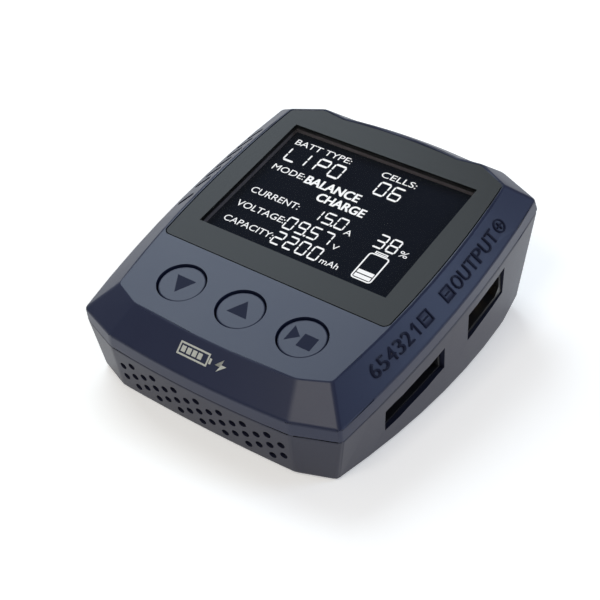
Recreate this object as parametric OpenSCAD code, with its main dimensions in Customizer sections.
// Balance battery charger: a wedge-shaped desktop case with a sloping deck.
// The table is z = 0, the front faces -y, and x = 0 is the middle of the case.
// Most pieces are drawn in the deck frame: x across, y up the slope from a
// hinge line under the front edge, z square to the deck.

/* [Case] */
// Slope of the deck, rim and parting line against the table, in degrees
deck_tilt = 10.5; // [10:0.5:11]
// Height of the deck above the hinge line, square to the deck
deck_h = 20.7; // [20.7:0.1:21.3]
// Height of the upper edge of the rim
rim_h = 15.95; // [15.8:0.05:16.1]
// Height of the parting line between the two shells
part_h = 12.7; // [12.6:0.1:12.8]
// Thickness of the case walls
wall = 1.8; // [1.6:0.1:1.8]
// Thickness of the case floor
floor_t = 1.6; // [1.4:0.1:1.6]
// Thickness of the deck
deck_t = 2.2; // [2.1:0.1:2.2]
// How far the rubber feet stand below the case
foot_h = 0.5; // [0.4:0.1:1]

/* [Display] */
// Width of the display window
window_w = 48.6; // [46:0.2:48.8]
// Length of the display window up the slope
window_l = 37.2; // [35:0.2:37.4]
// Thickness of the display lens
lens_t = 1.1; // [0.9:0.1:1.2]
// Depth of the display glass below the deck
lcd_sink = 2.37; // [2.3:0.01:2.4]

/* [Buttons] */
// Radius of a button hole
button_hole_r = 5.5; // [5.3:0.1:5.6]
// Gap all round a button
button_gap = 0.35; // [0.25:0.05:0.4]
// Distance between neighbouring buttons
button_pitch = 15.6; // [15:0.1:16]
// Distance of the button row from the hinge line
button_y = 15.9; // [15.5:0.1:16.1]
// How far the button tops lie below the deck
button_sink = 0.45; // [0.3:0.05:0.5]

/* [Sockets] */
// Length of the balance port
balance_l = 20.5; // [20.4:0.1:20.8]
// Height of the balance port
balance_h = 6.4; // [6.2:0.1:6.6]
// Distance of the balance port from the hinge line
balance_y = 26.4; // [26:0.1:27]
// Distance of the output socket from the hinge line
output_y = 54.1; // [53.8:0.1:54.4]
// Length of a power socket opening
power_l = 16.1; // [16:0.1:16.3]
// Height of a power socket opening
power_h = 8.2; // [8.1:0.1:8.4]
// Radius of a power pin
power_pin_r = 1.75; // [1.7:0.05:1.75]
// Distance between the two power pins
power_pitch = 7.2; // [7:0.1:7.4]

/* [Fan] */
// Width of the square fan frame
fan_w = 18; // [17:0.5:18]
// Depth of the fan frame
fan_d = 6; // [5.5:0.5:6]

/* [Hidden] */

case_blue = [0.29, 0.32, 0.40];
mask_grey = [0.26, 0.27, 0.29];
black_plastic = [0.05, 0.05, 0.06];
board_green = [0.05, 0.25, 0.15];
metal = [0.75, 0.75, 0.76];
gold = [0.83, 0.66, 0.32];

// Right-hand corners of each outline, from the front to the back:
// front edge end, front of the side, back of the side, back edge end, step.
top_corners = [[20.9, 6.4], [27.4, 9.2], [28.9, 74.6], [21.3, 78.4], [15.2, 77.7]];
rim_corners = [[23.1, -0.6], [33.05, 2.75], [34.6, 78.2], [23.8, 82.9], [15.5, 82.9]];
part_corners = [[23.3, -0.9], [33.2, 2.65], [34.75, 79.2], [23.9, 83.9], [15.5, 83.9]];
// The base outline is measured on the table, from the hinge line.
base_corners = [[23, -1], [31.1, 2.25], [32.9, 73.9], [22.6, 78.2], [15.5, 78.2]];
lens_corners = [[28.1, 26.4], [28.9, 27.2], [28.35, 74.3], [21.15, 77.8], [15.4, 77.0]];
// How far the side, back and front edges of each outline bow outwards.
top_bow = [2.25, 1, 1];
rim_bow = [2.57, 0.9, 1.05];
part_bow = [2.3, 0.9, 1];
base_bow = [3.17, 0.8, 0.6];
lens_bow = [1, 0.85, 0];

corner_round = 0.7;   // cut back from each corner of the case outline
edge_soft = 0.07;     // share of a face that its rounded edge takes
lip_t = 0.7;          // thickness of the tongue between the shells
lip_h = 1.2;          // height of the tongue
lip_gap = 0.1;        // clearance around the tongue
bevel_y = 64.4;       // where the back of the base starts to rise
bevel_angle = 19;     // slope of that rise
clear = 0.05;         // running clearance of a pin in its hole

window_y = 33.2;                        // front edge of the display window
lens_top = deck_h - 0.03;
lens_bottom = lens_top - lens_t;
mask_t = 0.15;
lens_gap = 0.28;
deck_under = deck_h - deck_t;
lcd_top = deck_h - lcd_sink;
lcd_t = 1.6;
display_board_top = 14.7;
display_board_t = 1.2;

balance_z = 5.15;                       // middle height of the balance port
power_z = 5.475;                        // middle height of the power sockets
socket_gap = 0.1;                       // around a power socket in the case
socket_h = power_h - 2*socket_gap;
board_top = power_z - socket_h/2;
board_t = 1.6;
input_x = -11;
usb_x = 11.5;
usb_z = board_top + 1.75;
output_mouth = 34.9;                    // x of the output socket's mouth
input_mouth = 81.6;                     // distance of the input socket's mouth
socket_d = 14;
pin_sink = 3;                           // pin tips below a socket's mouth
pin_l = 8.5;
pin_shoulder_r = 2;
tail_x = socket_d + 0.6;                // solder tails behind a socket's mouth
balance_mouth = 32.9;
balance_pin_pitch = 2.5;
balance_pin_count = 7;

button_r = button_hole_r - button_gap;
button_top = deck_h - button_sink;
plunger_top = 17.3;
plunger_r = 1.7;
switch_h = 1.9;

fan_x = -29.3;                          // middle of the fan along its axis
fan_y = 56;
fan_z = 3.2;
shaft_r = 0.75;

case_screw_at = [[26.5, 9.5], [-26.5, 9.5], [28.6, 69.6], [-28.6, 69.6]];
boss_r = 2.6;                           // posts that the case screws bite into
screw_seat = 2;                         // where the case screw heads bear
board_screw_at = [[-22, 20], [17.5, 17.5], [-22, 62], [22.5, 66]];
screw_grip = 2;                         // board screws reach this far past the board
display_screw_at = [[21.5, 25.2], [-21.5, 25.2], [20, 76], [-20, 76]];
foot_at = [[-25, 18], [25, 18], [-25, 57], [25, 57]];
foot_r = 3.5;
transistor_at = [[-14, 31], [-4, 31], [-14, 48], [-4, 48]];
inductor_at = [[11, 33], [11, 52]];
capacitor_at = [[10, 66], [17.5, 68.5], [3, 63]];
link_at = [-8, 18.5];

// The hinge line is placed so that the case is centred on y = 0.
front_most = (rim_corners[0][1] - rim_bow[2])*cos(deck_tilt) - rim_h*sin(deck_tilt);
back_most = (part_corners[3][1] + part_bow[1])*cos(deck_tilt) - part_h*sin(deck_tilt);
hinge_y = -(front_most + back_most)/2;

module table_frame() {
  translate([0, hinge_y, foot_h]) children();
}

module deck_frame() {
  table_frame() rotate([deck_tilt, 0, 0]) children();
}

// ---- outlines -------------------------------------------------------------

function mirrored(c) = [for (i = [len(c) - 1 : -1 : 0]) [-c[i][0], c[i][1]]];
function closed(c) = concat(c, mirrored(c));
function bows_of(b) = [0, b[0], 0, 0, b[1], 0, 0, b[0], 0, b[2]];

function unit(v) = v/norm(v);
function outward(a, b) = let (d = unit(b - a)) [d[1], -d[0]];

// Moves every corner of a closed outline inwards by d.
function shrink(p, d) = [
  for (i = [0 : len(p) - 1])
    let (
      before = p[(i + len(p) - 1) % len(p)],
      after = p[(i + 1) % len(p)],
      n1 = outward(before, p[i]),
      n2 = outward(p[i], after)
    )
    p[i] - (n1 + n2)*d/(1 + n1*n2)
];

// Points along one edge, bowed outwards and cut back at both corners.
function edge(a, b, bow, cut, steps) =
  let (d = b - a, k = min(0.3, cut/norm(d)), n = bow == 0 ? 1 : steps)
  [
    for (i = [0 : n])
      let (t = k + (1 - 2*k)*i/n)
      a + d*t + outward(a, b)*4*bow*t*(1 - t)
  ];

// A whole outline: edges, and one point that rounds each corner.
function outline(p, bows, cut, steps = 8) = [
  for (i = [0 : len(p) - 1])
    let (
      j = (i + 1) % len(p),
      k = (i + 2) % len(p),
      here = edge(p[i], p[j], bows[i], cut, steps),
      next = edge(p[j], p[k], bows[j], cut, steps)
    )
    each concat(here, [(here[len(here) - 1] + next[0])/4 + p[j]/2])
];

function at_height(points, h) = [for (q = points) [q[0], q[1], h]];
function mix(a, b, t) = a + (b - a)*t;

// From a point on the table plane to the deck frame, and the other way.
function from_table(q) = [
  q[0],
  q[1]*cos(deck_tilt) + q[2]*sin(deck_tilt),
  q[2]*cos(deck_tilt) - q[1]*sin(deck_tilt)
];
function table_ring(points, h) = [for (q = points) from_table([q[0], q[1], h])];

// A solid through rings that all have the same number of points.
module loft(rings) {
  n = len(rings[0]);
  last = len(rings) - 1;
  polyhedron(
    points = [for (r = rings) each r],
    faces = concat(
      [[for (i = [0 : n - 1]) i]],
      [[for (i = [n - 1 : -1 : 0]) last*n + i]],
      [
        for (k = [0 : last - 1], i = [0 : n - 1])
          let (a = k*n + i, b = k*n + (i + 1) % n)
          each [[a, a + n, b + n], [a, b + n, b]]
      ]
    ),
    convexity = 6
  );
}

function case_ring(corners, bow, inset, h) =
  at_height(outline(shrink(closed(corners), inset), bows_of(bow), corner_round), h);

function base_ring(inset, h) =
  table_ring(outline(shrink(closed(base_corners), inset), bows_of(base_bow), corner_round), h);

module flat_plate(corners, bow, grow, from, to) {
  translate([0, 0, from])
    linear_extrude(to - from)
      polygon(outline(shrink(closed(corners), -grow), bows_of(bow), 0.5));
}

module box_at(centre, size) {
  translate(centre) cube(size, center = true);
}

module post(at, r, from, to) {
  translate([at[0], at[1], from]) cylinder(r = r, h = to - from, $fn = 32);
}

// ---- case -----------------------------------------------------------------

module upper_outside() {
  part = case_ring(part_corners, part_bow, 0, part_h);
  rim = case_ring(rim_corners, rim_bow, 0, rim_h);
  top = case_ring(top_corners, top_bow, 0, deck_h);
  top_in = case_ring(top_corners, top_bow, 0.2, deck_h);
  below_rim = mix(part, rim, 1 - edge_soft);
  above_rim = mix(rim, top, edge_soft);
  below_top = mix(rim, top, 1 - edge_soft/2);
  loft([
    part,
    below_rim,
    mix(mix(below_rim, above_rim, 0.5), rim, 0.5),
    above_rim,
    below_top,
    mix(mix(below_top, top_in, 0.5), top, 0.5),
    top_in
  ]);
}

module upper_inside() {
  slope_inset = 2.6;
  share = (deck_under - rim_h)/(deck_h - rim_h);
  loft([
    case_ring(part_corners, part_bow, wall, part_h - 1),
    case_ring(rim_corners, rim_bow, wall, rim_h - 0.6),
    case_ring(
      mix(rim_corners, top_corners, share), mix(rim_bow, top_bow, share),
      slope_inset, deck_under
    )
  ]);
  tongue_outer = 1;
  loft([
    case_ring(part_corners, part_bow, tongue_outer, part_h - 1),
    case_ring(part_corners, part_bow, tongue_outer, part_h + lip_h + 0.2)
  ]);
}

// Slanted slots through the sloping left side, over the fan.
module slope_slots() {
  slope = atan2(deck_h - rim_h, 6);
  for (i = [0 : 6])
    translate([-33.4, 39 + 4*i + (i > 0 ? 2.4 : 0), 18.3])
      rotate([0, -slope, 0])
        rotate([0, 0, 40])
          cube([4.4, 1.5, 7], center = true);
}

module upper_shell() {
  color(case_blue) deck_frame() difference() {
    union() {
      difference() {
        upper_outside();
        upper_inside();
      }
      for (p = case_screw_at) post(p, boss_r, part_h + 0.1, deck_under + 0.4);
      for (p = display_screw_at) post(p, 1.6, display_board_top, deck_under + 0.4);
    }
    flat_plate(lens_corners, lens_bow, lens_gap, lens_bottom - mask_t - 0.02, deck_h + 1);
    box_at([0, window_y + window_l/2, deck_under], [window_w + 2.4, window_l + 2.4, 4]);
    for (i = [-1 : 1])
      post([i*button_pitch, button_y], button_hole_r, deck_under - 1, deck_h + 1);
    for (p = case_screw_at) post(p, 1 + clear, part_h - 1, deck_under - 0.5);
    for (p = display_screw_at) post(p, 0.8 + clear, display_board_top - 1, deck_under - 0.5);
    slope_slots();
  }
}

// Everything above the base, whose back end rises off the table.
module above_base(raise) {
  rotate([-deck_tilt, 0, 0])
    translate([0, bevel_y, raise])
      rotate([bevel_angle, 0, 0])
        translate([-60, -150, 0])
          cube([120, 250, 90]);
}

module lower_outside() {
  gap = 0.2;
  base = base_ring(0, 0);
  part = case_ring(part_corners, part_bow, 0, part_h);
  shrunk = case_ring(part_corners, part_bow, 0.25, part_h - gap);
  base_soft = base_ring(0.25, 0);
  intersection() {
    loft([
      base_soft,
      mix(mix(base, part, 0.02), base_soft, 0.15),
      mix(base, part, 0.04),
      mix(base, part, 0.96),
      shrunk
    ]);
    above_base(0);
  }
}

module lower_inside() {
  intersection() {
    loft([
      base_ring(wall + 0.1, floor_t),
      case_ring(part_corners, part_bow, wall + 0.1, part_h + 1)
    ]);
    above_base(floor_t);
  }
}

// The tongue that stands up inside the upper shell.
module tongue() {
  out = 1 + lip_gap;
  low = part_h - 1.6;
  difference() {
    loft([
      case_ring(part_corners, part_bow, out, low),
      case_ring(part_corners, part_bow, out, part_h + lip_h)
    ]);
    loft([
      case_ring(part_corners, part_bow, out + lip_t, low - 1),
      case_ring(part_corners, part_bow, out + lip_t, part_h + lip_h + 1)
    ]);
  }
}

// Five levels of holes in slanting rows across the front wall.
module front_vents() {
  hole_r = 0.88;
  for (row = [-4 : 4], i = [-2 : 2]) {
    x = row*5.93 + i*2.85;
    if (abs(x) < 21.6)
      translate([x, -4, 6.2 + i*1.6])
        rotate([-90, 0, 0])
          cylinder(r = hole_r, h = 6.5, $fn = 16);
  }
}

// Slanted slots through the left wall, in front of the fan.
module fan_grille() {
  half = [4.5, 6.5, 7.4, 6.5, 4.5];
  for (i = [0 : 4])
    translate([-34.5, fan_y + 0.5 + (i - 2)*3.2, fan_z])
      rotate([25, 0, 0])
        cube([8, 1.6, 2*half[i]], center = true);
}

// Slots in the floor under the heat sink.
module floor_slots() {
  for (i = [0 : 5])
    rotate([-deck_tilt, 0, 0])
      box_at([0, 26 + 5*i, 0], [22, 1.8, 6]);
}

module screw_column(at) {
  intersection() {
    post(at, 2.9, -20, part_h - 0.1);
    above_base(0.1);
  }
}

module board_pillar(at) {
  intersection() {
    post(at, 2.2, -20, board_top - board_t);
    above_base(0.1);
  }
}

module fan_cradle() {
  intersection() {
    for (s = [-1, 1])
      translate([fan_x, fan_y + s*(fan_w/2 + 0.8), 0])
        cube([3, 1.2, 30], center = true);
    above_base(0.1);
    box_at([fan_x, fan_y, -3], [4, 24, 22]);
  }
}

// Keeps a piece above the flat floor as well as above the rising back end.
module above_floor(raise) {
  intersection() {
    children();
    rotate([-deck_tilt, 0, 0]) translate([-60, -20, raise]) cube([120, 120, 60]);
  }
}

module lower_shell() {
  color(case_blue) deck_frame() difference() {
    union() {
      difference() {
        lower_outside();
        lower_inside();
      }
      tongue();
      above_floor(0.1) {
        for (p = case_screw_at) screw_column(p);
        for (p = board_screw_at) board_pillar(p);
        fan_cradle();
      }
    }
    for (p = case_screw_at) {
      post(p, 1.1, -20, part_h + 1);
      post(p, 2.1, -20, screw_seat);
    }
    for (p = board_screw_at)
      post(p, 0.8 + clear, board_top - board_t - screw_grip - 0.2, board_top);
    front_vents();
    fan_grille();
    floor_slots();
    box_at([35, balance_y, balance_z], [10, balance_l, balance_h]);
    box_at([35, output_y, power_z], [10, power_l, power_h]);
    box_at([input_x, 83, power_z], [power_l, 10, power_h]);
    box_at([usb_x, 83, usb_z], [9.2, 10, 3.5]);
    rotate([-deck_tilt, 0, 0])
      for (p = foot_at) post(p, foot_r + 0.1, -1, 0.4);
  }
}

module foot(at) {
  color([0.08, 0.08, 0.08]) table_frame() translate([at[0], at[1], -foot_h])
    rotate_extrude($fn = 48)
      polygon([
        [0, 0], [foot_r - 0.3, 0], [foot_r, 0.3],
        [foot_r, foot_h + 0.4], [0, foot_h + 0.4]
      ]);
}

// A pan-head screw with its head down and a cross recess.
module screw(at, seat, r, head_r, head_h, length) {
  translate([at[0], at[1], seat]) difference() {
    union() {
      translate([0, 0, -head_h]) cylinder(r = head_r, h = head_h, $fn = 32);
      cylinder(r = r, h = length, $fn = 32);
    }
    for (a = [0, 90])
      rotate([0, 0, a]) box_at([0, 0, -head_h], [head_r*1.3, head_r*0.3, head_h]);
  }
}

module case_screws() {
  color(metal) deck_frame()
    for (p = case_screw_at) screw(p, screw_seat, 1, 1.9, 1.4, 15);
}

// The board screws point down into the pillars.
module board_screws() {
  color(metal) deck_frame()
    for (p = board_screw_at)
      translate([0, 0, 2*board_top]) mirror([0, 0, 1])
        screw(p, board_top, 0.8, 1.7, 1, board_t + screw_grip);
}

module display_screws() {
  color(metal) deck_frame()
    for (p = display_screw_at)
      screw(p, display_board_top - display_board_t, 0.8, 1.5, 0.9, display_board_t + 3);
}

// ---- display --------------------------------------------------------------

module display_lens() {
  color([0.3, 0.32, 0.34, 0.5]) deck_frame()
    flat_plate(lens_corners, lens_bow, 0, lens_bottom, lens_top);
}

module window_block(grow, from, to) {
  box_at(
    [0, window_y + window_l/2, (from + to)/2],
    [window_w + 2*grow, window_l + 2*grow, to - from]
  );
}

module lens_mask() {
  color(mask_grey) deck_frame() difference() {
    flat_plate(lens_corners, lens_bow, -0.2, lens_bottom - mask_t, lens_bottom);
    window_block(0, lens_bottom - 1, lens_bottom + 1);
  }
}

module lcd_bezel() {
  top = lens_bottom - mask_t - 0.05;
  color([0.2, 0.18, 0.18]) deck_frame() difference() {
    window_block(1.1, lcd_top, top);
    window_block(0.05, lcd_top - 1, top + 1);
  }
}

module lcd_panel() {
  color([0.09, 0.1, 0.13]) deck_frame() window_block(1.5, lcd_top - lcd_t, lcd_top);
}

module light_guide() {
  color("white") deck_frame() window_block(1.2, display_board_top + 0.2, lcd_top - lcd_t);
}

module lcd_frame() {
  color([0.85, 0.85, 0.83]) deck_frame() difference() {
    window_block(3.2, display_board_top, lcd_top - 0.05);
    window_block(1.6, lcd_top - lcd_t - 0.05, lcd_top + 1);
    window_block(1.3, display_board_top + 0.15, lcd_top + 1);
    for (p = case_screw_at) post(p, boss_r + 0.2, part_h, deck_h);
  }
}

module display_board() {
  half = [[22, 8.5], [22, 14.5], [29, 14.5], [29, 66], [23, 66], [23, 78]];
  color(board_green) deck_frame() difference() {
    translate([0, 0, display_board_top - display_board_t])
      linear_extrude(display_board_t) polygon(closed(half));
    for (p = display_screw_at) post(p, 1, 12, 16);
  }
}

// ---- buttons --------------------------------------------------------------

// A round cap with a flange that the deck holds in.
module button_cap(i) {
  flange_r = button_hole_r + 0.7;
  flange_top = deck_under - 0.2;
  color(case_blue) deck_frame() translate([i*button_pitch, button_y, 0])
    rotate_extrude($fn = 64)
      polygon([
        [0, plunger_top], [2.2, plunger_top], [2.2, flange_top - 0.8],
        [flange_r, flange_top - 0.8], [flange_r, flange_top], [button_r, flange_top],
        [button_r, button_top - 0.25], [button_r - 0.1, button_top - 0.07],
        [button_r - 0.3, button_top], [0, button_top]
      ]);
}

module tact_switch(i) {
  color(black_plastic) deck_frame() difference() {
    box_at([i*button_pitch, button_y, display_board_top + switch_h/2], [6, 6, switch_h]);
    post([i*button_pitch, button_y], plunger_r + clear, display_board_top + 0.8, deck_h);
  }
}

module plunger(i) {
  color([0.9, 0.9, 0.88]) deck_frame()
    post([i*button_pitch, button_y], plunger_r, display_board_top + 1.3, plunger_top);
}

// ---- main board and sockets -----------------------------------------------

module main_board() {
  side = 29.5;
  fan_side = -23.8;
  points = [
    [-side, 14], [side, 14], [side, 70], [24.5, 75], [22.5, 77.6],
    [-22.5, 77.6], [fan_side, 75], [fan_side, 44.5], [-side, 44.5]
  ];
  color(board_green) deck_frame() difference() {
    translate([0, 0, board_top - board_t]) linear_extrude(board_t) polygon(points);
    for (p = case_screw_at) post(p, 3.6, -5, 5);
    for (p = board_screw_at) post(p, 0.9, -5, 5);
    for (i = [0 : balance_pin_count - 1])
      box_at([21.2, balance_pin_y(i), 0], [0.9, 0.9, 8]);
    for (s = [-1, 1]) {
      box_at([output_mouth - tail_x, output_y + s*power_pitch/2, 0], [1.5, 2.1, 8]);
      box_at([input_x + s*power_pitch/2, input_mouth - tail_x, 0], [2.1, 1.5, 8]);
    }
  }
}

function balance_pin_y(i) = balance_y + (i - (balance_pin_count - 1)/2)*balance_pin_pitch;

module balance_header() {
  back = balance_mouth - 10.8;
  step = balance_mouth - 1.3;
  length = 19.9;
  top = 8;
  nose_low = balance_z - balance_h/2 + 0.1;
  mouth_slant = 1.7;
  cavity = [18.7, 4.9];
  color([0.12, 0.12, 0.12]) deck_frame() difference() {
    union() {
      box_at(
        [(back + step)/2, balance_y, (board_top + top)/2],
        [step - back, length, top - board_top]
      );
      translate([0, balance_y, nose_low])
        linear_extrude(top - nose_low)
          polygon([
            [back, -length/2], [balance_mouth, -length/2],
            [balance_mouth + mouth_slant, length/2], [back, length/2]
          ]);
    }
    box_at([balance_mouth, balance_y, 5.05], [15, cavity[0], cavity[1]]);
    for (s = [-1, 1])
      box_at([balance_mouth, balance_y + s*5.6, 7.5], [12, 2.6, 2]);
    for (i = [0 : balance_pin_count - 1])
      box_at([back, balance_pin_y(i), 5.05], [8, 0.7, 0.7]);
  }
}

module balance_pins() {
  wire = 0.64;
  tip = balance_mouth - 3.5;
  tail = 21.2;
  color(metal) deck_frame()
    for (i = [0 : balance_pin_count - 1]) {
      translate([tail - wire/2, balance_pin_y(i) - wire/2, 5.05 - wire/2])
        cube([tip - tail + wire/2, wire, wire]);
      translate([tail - wire/2, balance_pin_y(i) - wire/2, -1.4])
        cube([wire, wire, 5.05 + 1.4]);
    }
}

// A power socket drawn with its mouth at the origin, opening along +x.
module power_shroud() {
  length = power_l - 2*socket_gap;
  wall_t = 0.95;
  depth = pin_sink + pin_l;
  difference() {
    translate([-socket_d, -length/2, -socket_h/2]) cube([socket_d, length, socket_h]);
    translate([-depth, 0, 0]) rotate([90, 0, 90])
      linear_extrude(depth + 1)
        polygon([
          [-length/2 + wall_t, -socket_h/2 + wall_t],
          [length/2 - wall_t - 1.6, -socket_h/2 + wall_t],
          [length/2 - wall_t, -socket_h/2 + wall_t + 1.6],
          [length/2 - wall_t, socket_h/2 - wall_t - 1.6],
          [length/2 - wall_t - 1.6, socket_h/2 - wall_t],
          [-length/2 + wall_t, socket_h/2 - wall_t]
        ]);
    for (s = [-1, 1])
      translate([-socket_d - 1, s*power_pitch/2, 0]) rotate([0, 90, 0])
        cylinder(r = pin_shoulder_r + clear, h = socket_d, $fn = 32);
  }
}

// Each pin has a shoulder in the base of the socket and a solder tail.
module power_pins() {
  depth = pin_sink + pin_l;
  for (s = [-1, 1]) {
    translate([-socket_d, s*power_pitch/2, 0]) rotate([0, 90, 0])
      cylinder(r = pin_shoulder_r, h = socket_d - depth + 0.3, $fn = 32);
    translate([-depth, s*power_pitch/2, 0]) rotate([0, 90, 0])
      cylinder(r = power_pin_r, h = pin_l - 0.4, $fn = 32);
    translate([-pin_sink - 0.4, s*power_pitch/2, 0]) rotate([0, 90, 0])
      cylinder(r1 = power_pin_r, r2 = power_pin_r - 0.4, h = 0.4, $fn = 32);
    translate([-tail_x - 0.6, s*power_pitch/2 - 0.9, -socket_h/2 - board_t - 0.6])
      cube([1.2, 1.8, socket_h/2 + board_t + 1.4]);
  }
}

module at_output() {
  deck_frame() translate([output_mouth, output_y, power_z]) children();
}

module at_input() {
  deck_frame() translate([input_x, input_mouth, power_z]) rotate([0, 0, 90]) children();
}

module usb_shell() {
  mouth = 82.4;
  depth = 7.3;
  color(metal) deck_frame() translate([usb_x, mouth, usb_z]) rotate([90, 0, 0])
    difference() {
      usb_slug(8.94, 3.2, 0, depth);
      usb_slug(8.34, 2.6, -1, depth - 0.8);
    }
}

module usb_slug(width, height, from, to) {
  translate([0, 0, from]) linear_extrude(to - from) {
    square([width - height, height], center = true);
    for (s = [-1, 1])
      translate([s*(width - height)/2, 0]) circle(d = height, $fn = 32);
  }
}

module usb_tongue() {
  color(black_plastic) deck_frame()
    box_at([usb_x, 82.4 - 4, usb_z], [6.7, 5, 0.7]);
}

// ---- fan ------------------------------------------------------------------

module along_fan() {
  deck_frame() translate([fan_x, fan_y, fan_z]) rotate([0, 90, 0]) children();
}

// The frame has its spider on the inner side, with the bearing in its hub.
module fan_frame() {
  bore_r = fan_w/2 - 0.7;
  hub_r = 3.4;
  spider_t = 1;
  color(black_plastic) along_fan() difference() {
    union() {
      difference() {
        box_at([0, 0, 0], [fan_w, fan_w, fan_d]);
        cylinder(r = bore_r, h = fan_d + 2, center = true, $fn = 64);
      }
      translate([0, 0, fan_d/2 - spider_t]) cylinder(r = hub_r, h = spider_t, $fn = 48);
      for (a = [45 : 90 : 315])
        rotate([0, 0, a])
          translate([2, -0.6, fan_d/2 - spider_t]) cube([bore_r - 1, 1.2, spider_t]);
    }
    cylinder(r = shaft_r + clear, h = fan_d + 2, $fn = 32);
  }
}

module fan_rotor() {
  blades = 7;
  blade_r = fan_w/2 - 1.2;
  hub_r = 3.2;
  low = -fan_d/2 + 0.3;
  high = fan_d/2 - 1.3;
  color([0.14, 0.14, 0.15]) along_fan() {
    translate([0, 0, low]) cylinder(r = hub_r, h = high - low, $fn = 48);
    translate([0, 0, low + 0.2]) cylinder(r = shaft_r, h = fan_d - 0.6, $fn = 32);
    for (k = [0 : blades - 1])
      rotate([0, 0, k*360/blades])
        translate([hub_r - 0.4, 0, (low + high)/2])
          rotate([35, 0, 0])
            translate([0, -0.3, -2]) cube([blade_r - hub_r + 0.2, 0.6, 4]);
  }
}

// ---- parts on the boards --------------------------------------------------

module transistor(at) {
  color(black_plastic) deck_frame() box_at([at[0], at[1], board_top + 0.5], [6, 5, 1]);
}

module thermal_pad() {
  color([0.6, 0.65, 0.75]) deck_frame() box_at([-9, 39.5, board_top + 1.25], [18, 24, 0.5]);
}

module heat_sink() {
  base = board_top + 1.5;
  fins = 9;
  width = 20;
  length = 27;
  color([0.25, 0.26, 0.28]) deck_frame() {
    translate([-9 - width/2, 39.5 - length/2, base]) cube([width, length, 1.5]);
    for (i = [0 : fins - 1])
      translate([-9 - width/2 + i*(width - 0.9)/(fins - 1), 39.5 - length/2, base])
        cube([0.9, length, 8.6]);
  }
}

module inductor(at) {
  color([0.2, 0.2, 0.21]) deck_frame() {
    box_at([at[0], at[1], board_top + 3.5], [12, 12, 7]);
    post(at, 4.6, board_top + 6, board_top + 7.3);
  }
}

module capacitor(at) {
  color(metal) deck_frame() translate([at[0], at[1], board_top])
    rotate_extrude($fn = 48)
      polygon([
        [0, 0], [3.3, 0], [3.3, 1], [3.1, 1.3], [2.95, 1.5],
        [3.15, 1.8], [3.15, 8.2], [2.9, 8.5], [0, 8.5]
      ]);
}

module buzzer() {
  color(black_plastic) deck_frame() translate([-12, 60.5, board_top])
    difference() {
      cylinder(r = 4.5, h = 5, $fn = 48);
      translate([0, 0, 3]) cylinder(r = 0.8, h = 3, $fn = 24);
    }
}

module controller() {
  color(black_plastic) deck_frame() box_at([10.5, 20, board_top + 0.5], [7, 7, 1]);
}

// Eight pins in a base carry the signals up to the display board.
module link_header() {
  color(black_plastic) deck_frame() {
    box_at([link_at[0], link_at[1], board_top + 1.25], [20.5, 2.5, 2.5]);
    for (i = [0 : 7])
      box_at([link_at[0] + (i - 3.5)*2.54, link_at[1], board_top + 5], [0.64, 0.64, 9.6]);
  }
}

module link_socket() {
  low = 7;
  high = display_board_top - display_board_t;
  color(black_plastic) deck_frame() difference() {
    box_at([link_at[0], link_at[1], (low + high)/2], [20.9, 2.6, high - low]);
    box_at([link_at[0], link_at[1], low], [19.4, 1, 9]);
  }
}

upper_shell();
lower_shell();
display_lens();
lens_mask();
lcd_bezel();
lcd_panel();
light_guide();
lcd_frame();
display_board();
button_cap(-1);  // button_down
button_cap(0);  // button_up
button_cap(1);  // button_start
tact_switch(-1);  // switch_down
tact_switch(0);  // switch_up
tact_switch(1);  // switch_start
plunger(-1);  // plunger_down
plunger(0);  // plunger_up
plunger(1);  // plunger_start
main_board();
link_header();
link_socket();
balance_header();
balance_pins();
color(black_plastic) at_output() power_shroud();  // output_socket
color(gold) at_output() power_pins();  // output_pins
color(black_plastic) at_input() power_shroud();  // input_socket
color(gold) at_input() power_pins();  // input_pins
usb_shell();
usb_tongue();
fan_frame();
fan_rotor();
heat_sink();
thermal_pad();
transistor(transistor_at[0]);  // transistor_1
transistor(transistor_at[1]);  // transistor_2
transistor(transistor_at[2]);  // transistor_3
transistor(transistor_at[3]);  // transistor_4
inductor(inductor_at[0]);  // inductor_1
inductor(inductor_at[1]);  // inductor_2
capacitor(capacitor_at[0]);  // capacitor_1
capacitor(capacitor_at[1]);  // capacitor_2
capacitor(capacitor_at[2]);  // capacitor_3
buzzer();
controller();
foot(foot_at[0]);  // foot_front_left
foot(foot_at[1]);  // foot_front_right
foot(foot_at[2]);  // foot_back_left
foot(foot_at[3]);  // foot_back_right
case_screws();
board_screws();
display_screws();
